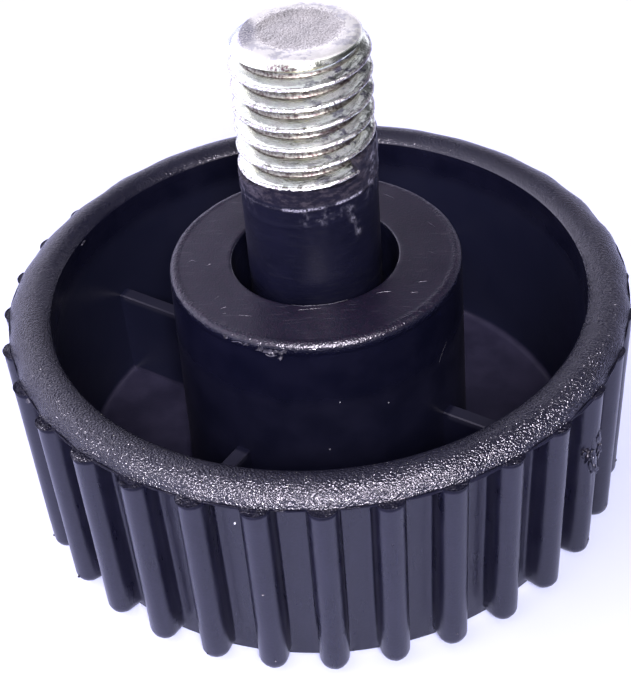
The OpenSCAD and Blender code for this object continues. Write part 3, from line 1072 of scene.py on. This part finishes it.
def zinc_plate():
    m, g, bs = mat("zinc_plate")
    mm, x, y, z, r = g.where()
    both = lambda a, b: g.math("MULTIPLY", a, b)
    fine = g.noise(mm, 6.5, 2.0, 0.6)
    grit = g.noise(mm, 10.0, 1.0, 0.5)
    broad = g.noise(mm, 0.9, 3.0, 0.6)
    drawn = g.noise(g.times(mm, (1.0, 1.0, 7.0)), 0.9, 3.0, 0.6)
    geo = g.t.nodes.new("ShaderNodeNewGeometry")
    up = g.dot(geo.outputs["Normal"], (0, 0, 1))
    deep = g.ramp(r, 3.75, 3.35)
    root = both(g.ramp(r, 3.40, 3.30), g.ramp(z, 30.4, 30.2))
    streak = g.noise(g.times(mm, (1.0, 1.0, 2.2)), 1.25, 3.0, 0.65)
    crest = g.ramp(r, 3.80, 3.90)
    under = both(g.ramp(up, -0.15, -0.45), g.ramp(z, 20.0, 22.0))
    end = g.ramp(z, 30.98, 31.02)
    # the end's grainy middle, a little off centre, and a dark rub on its left
    ex = g.math("DIVIDE", g.math("SUBTRACT", x, 0.05), 2.45)
    ey = g.math("DIVIDE", g.math("SUBTRACT", y, 0.25), 2.35)
    e = g.math("SQRT", g.math("ADD", g.math("MULTIPLY", ex, ex), g.math("MULTIPLY", ey, ey)))
    e = g.math("ADD", e, g.ramp(fine, 0.3, 0.7, -0.10, 0.10))
    mid = both(end, g.ramp(e, 1.06, 0.94))
    sx = g.math("DIVIDE", g.math("ADD", x, 3.0), 0.85)
    sy = g.math("DIVIDE", g.math("SUBTRACT", y, 0.2), 2.0)
    rub = g.math("SQRT", g.math("ADD", g.math("MULTIPLY", sx, sx), g.math("MULTIPLY", sy, sy)))
    rub = both(g.ramp(z, 30.9, 31.0), both(g.ramp(rub, 1.15, 0.5), g.ramp(grit, 0.34, 0.60, 0.35, 1.0)))
    # the rubbed ring scatters like bare white metal dust
    ring = both(g.ramp(z, 30.93, 31.0), g.math("SUBTRACT", 1.0, g.math("MAXIMUM", mid, rub)))
    c = g.mix(g.ramp(broad, 0.3, 0.7), (0.79, 0.86, 0.70), (0.85, 0.90, 0.76))
    c = g.mix(both(deep, g.ramp(drawn, 0.3, 0.7, 0.25, 0.95)), c, (0.64, 0.69, 0.50))
    # dark drawn streaks, painted heavier towards the right side as a painted dark reflection
    c = g.mix(both(g.ramp(streak, 0.52, 0.64), g.ramp(x, -1.5, 2.2, 0.2, 0.9)), c, (0.15, 0.145, 0.19))
    # painted shade: the downward-facing flanks of the bare thread are made browner and darker
    c = g.mix(both(under, g.ramp(broad, 0.3, 0.7, 0.75, 1.0)), c, (0.46, 0.42, 0.36))
    c = g.mix(both(crest, g.ramp(grit, 0.42, 0.56)), c, (0.36, 0.33, 0.33))
    # painted shade: the thread's roots below the end are made dark brown
    c = g.mix(both(root, g.ramp(fine, 0.3, 0.7, 0.7, 1.0)), c, (0.05, 0.034, 0.031))
    # brown stain on the bevel
    sx = g.math("DIVIDE", g.math("ADD", x, 0.9), 1.0)
    sz = g.math("DIVIDE", g.math("SUBTRACT", z, 30.76), 0.22)
    stain = g.math("SQRT", g.math("ADD", g.math("MULTIPLY", sx, sx), g.math("MULTIPLY", sz, sz)))
    stain = both(both(g.ramp(stain, 1.2, 0.4), g.ramp(y, -2.0, -3.0)), g.ramp(fine, 0.38, 0.58))
    c = g.mix(stain, c, (0.22, 0.14, 0.15))
    c = g.mix(end, c, (0.97, 0.96, 0.86))
    c = g.mix(both(ring, g.ramp(streak, 0.50, 0.62, 0.0, 0.75)), c, (0.55, 0.55, 0.57))
    c = g.mix(both(mid, g.ramp(grit, 0.30, 0.66, 1.0, 0.35)), c, (0.59, 0.575, 0.52))
    c = g.mix(rub, c, (0.30, 0.30, 0.33))
    g.put(bs.inputs["Base Color"], c)
    g.put(bs.inputs["Metallic"], g.math("SUBTRACT", 1.0, g.math("MULTIPLY", ring, 0.2)))
    ro = g.ramp(broad, 0.3, 0.7, 0.12, 0.21)
    ro = g.math("ADD", ro, g.math("MULTIPLY", crest, 0.12))
    ro = g.math("ADD", ro, g.math("MULTIPLY", end, 0.18))
    ro = g.math("ADD", ro, g.math("MULTIPLY", root, 0.25))
    g.put(bs.inputs["Roughness"], ro)
    h = g.math("MULTIPLY", fine, 0.012)
    h = g.math("ADD", h, both(g.math("MULTIPLY", grit, 0.035), crest))
    h = g.math("ADD", h, both(g.math("MULTIPLY", grit, 0.03), mid))
    h = g.math("ADD", h, g.math("MULTIPLY", drawn, 0.010))
    g.put(bs.inputs["Normal"], g.bump(h))
    return m


black = plastic("black_plastic")
zinc = zinc_plate()

def add_wear(ob):
    """Per-vertex amount of whitened, torn plastic."""
    me = ob.data
    co = np.zeros(len(me.vertices) * 3)
    me.vertices.foreach_get("co", co)
    P = co.reshape(-1, 3) / MM
    r = np.hypot(P[:, 0], P[:, 1])
    a = np.degrees(np.arctan2(P[:, 1], P[:, 0]))
    z = P[:, 2]
    n1, n2 = noise3(P, 0.3, 95), noise3(P, 0.16, 96)
    on = (r < 4.3) & (z > 17)
    w = bump(z, torn_line(a), 0.075) * (line_part(a) + 0.12) * np.clip(0.8 + 0.6 * n1, 0, 1)
    w = w + 0.55 * bump(a, smear_az(z), 3.0) * smooth(z, 19.4, 19.9) * (1 - smooth(z, 21.7, 21.9)) * np.clip(0.3 + 1.2 * n1, 0, 1)
    w = w + 0.22 * np.clip(n1 + n2 - 0.35, 0, 1) * smooth(a, -103, -92) * (1 - smooth(a, -66, -58)) * bump(z, 21.45, 0.45)
    w = w + 0.45 * np.clip(n1 + n2 - 0.3, 0, 1) * bump(a, -23, 14) * smooth(z, 20.8, 22.2)
    w = w + 0.22 * np.clip(n1 + n2 - 0.3, 0, 1) * bump(a, -160, 16) * smooth(z, 20.8, 21.6)
    w = np.where(on, w, 0)
    # vertices that also belong to the untorn skin keep its finish
    shared = np.zeros(len(me.vertices), bool)
    for q in me.polygons:
        if q.material_index == 0:
            for k in q.vertices:
                shared[k] = True
    for a, rad, zz, low in ((-106.1, 17.38, 10.93, True), (-83.5, 8.84, 11.96, False), (-64.7, 8.84, 11.04, False), (-88.6, 8.84, 8.47, False)):
        t = math.radians(a)
        c = np.array([rad * math.cos(t) + (SHIFT[0] if low else 0), rad * math.sin(t) + (SHIFT[1] if low else 0), zz])
        near = (np.linalg.norm(P - c, axis=1) < 0.16)
        w = np.where(near & ~shared, 1.0 if low else 0.12, w)
    at = me.attributes.new("wear", "FLOAT", "POINT")
    at.data.foreach_set("value", np.clip(w, 0, 1).astype(np.float32))


torn_black = plastic("torn_plastic", True)
body.data.materials.append(black)
stud.data.materials.append(zinc)
mark_body(body, torn_black, black)
drop_crumbs(body)
mark_stud(stud, zinc)
add_wear(body)
shade(body, 38)
shade(stud, 32)
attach(body, "root")
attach(stud, "root")
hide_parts("knob_body")
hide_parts("threaded_stud")

# ---------------------------------------------------------------- stage
me = bpy.data.meshes.new("floor")
me.from_pydata([(-1.5, -1.5, 0), (1.5, -1.5, 0), (1.5, 1.5, 0), (-1.5, 1.5, 0)], [], [(0, 1, 2, 3)])
floor = bpy.data.objects.new("floor", me)
bpy.context.scene.collection.objects.link(floor)
fm, g, bs = mat("floor")
mm, x, y, z, r = g.where()
# painted shade: the floor darkens towards the right from x = 60 mm to 140 mm, standing in for the room's light falling
# off to that side
g.put(bs.inputs["Base Color"], g.mix(g.ramp(x, 60, 140), (0.67, 0.68, 0.92), (0.50, 0.50, 0.66)))
bs.inputs["Roughness"].default_value = 0.9
bs.inputs["Specular IOR Level"].default_value = 0.1
me.materials.append(fm)

# the room, by direction: brightest to the left, dim overhead, dark to the right and beyond the lens
w = bpy.data.worlds.new("world")
bpy.context.scene.world = w
w.use_nodes = True
g = Graph(w.node_tree)
tc = w.node_tree.nodes.new("ShaderNodeTexCoord")
d = tc.outputs["Generated"]
dx, dy, dz = g.dot(d, (1, 0, 0)), g.dot(d, (0, 1, 0)), g.dot(d, (0, 0, 1))
level = g.math("ADD", g.ramp(dx, 0.20, -0.13, 0.05, 0.62), g.ramp(dx, -0.10, -0.50, 0.0, 0.45))
level = g.math("ADD", level, g.math("MULTIPLY", g.ramp(dz, 0.78, 0.95, 0.0, 0.40), g.ramp(dx, 0.35, -0.05)))
level = g.math("ADD", level, g.ramp(dx, -0.45, -0.85, 0.0, 2.2))
strip = g.math("MULTIPLY", g.math("MULTIPLY", g.ramp(dx, 0.50, 0.55), g.ramp(dx, 0.63, 0.58)), g.ramp(dz, 0.5, 0.62))
level = g.math("ADD", level, g.math("MULTIPLY", strip, 0.9))
low_back = g.math("MULTIPLY", g.ramp(dz, 0.42, 0.12), g.ramp(dy, 0.2, 0.75))
level = g.math("ADD", level, g.math("MULTIPLY", low_back, 1.4))
lens = g.ramp(g.dot(d, (0.0, -0.77, 0.64)), 0.84, 0.92)
level = g.math("MULTIPLY", level, g.math("SUBTRACT", 1.0, g.math("MULTIPLY", lens, 0.8)))
g.put(w.node_tree.nodes["Background"].inputs[0], (0.98, 0.935, 1.20, 1))
g.put(w.node_tree.nodes["Background"].inputs[1], level)


def area(name, loc, target, size, power, col=(1, 1, 1)):
    li = bpy.data.lights.new(name, "AREA")
    li.shape = "DISK"
    li.size = size
    li.energy = power
    li.color = col
    ob = bpy.data.objects.new(name, li)
    bpy.context.scene.collection.objects.link(ob)
    ob.location = loc
    d = Vector(target) - Vector(loc)
    ob.rotation_euler = d.to_track_quat("-Z", "Y").to_euler()
    return ob


# softbox just over the lens
el, az = math.radians(42), math.radians(-86)
area("key", (0.5 * math.cos(el) * math.cos(az), 0.5 * math.cos(el) * math.sin(az), 0.5 * math.sin(el)), (0, 0, 0.01), 0.16, 4.0, (0.92, 0.93, 1.0))
# a small bare lamp in the same place, seen only as glints
glint = area("glint", (0.45 * math.cos(el) * math.cos(az), 0.45 * math.cos(el) * math.sin(az), 0.45 * math.sin(el)), (0, 0, 0.01), 0.11, 11.5, (1.0, 0.89, 1.08))
glint.visible_diffuse = False

# ---------------------------------------------------------------- camera
E, ROLL, DIST, TX, TY, FPX = 0.683916, -0.0807820, 5.464197, -0.0225621, 0.492494, 1603.934
SC = 18.4 * MM
fwd = Vector((0, math.cos(E), -math.sin(E)))
right = Vector((1, 0, 0))
up = Vector((0, math.sin(E), math.cos(E)))
c, s = math.cos(ROLL), math.sin(ROLL)
cx = c * right + s * up
cy = -s * right + c * up
loc = Vector((TX, 0, TY)) - DIST * fwd
turn = Matrix.Rotation(TURN, 3, "Z")
cx, cy, cz, loc = turn @ cx, turn @ cy, turn @ (-fwd), turn @ loc
cam = bpy.data.cameras.new("camera")
cam.lens = FPX * 36 / 692
cam.sensor_width = 36
cam.clip_start = 0.005
cam.clip_end = 10
co = bpy.data.objects.new("camera", cam)
bpy.context.scene.collection.objects.link(co)
co.matrix_world = Matrix(((cx.x, cy.x, cz.x, loc.x * SC), (cx.y, cy.y, cz.y, loc.y * SC), (cx.z, cy.z, cz.z, loc.z * SC), (0, 0, 0, 1)))
bpy.context.scene.camera = co
bpy.context.scene.view_settings.view_transform = "Standard"
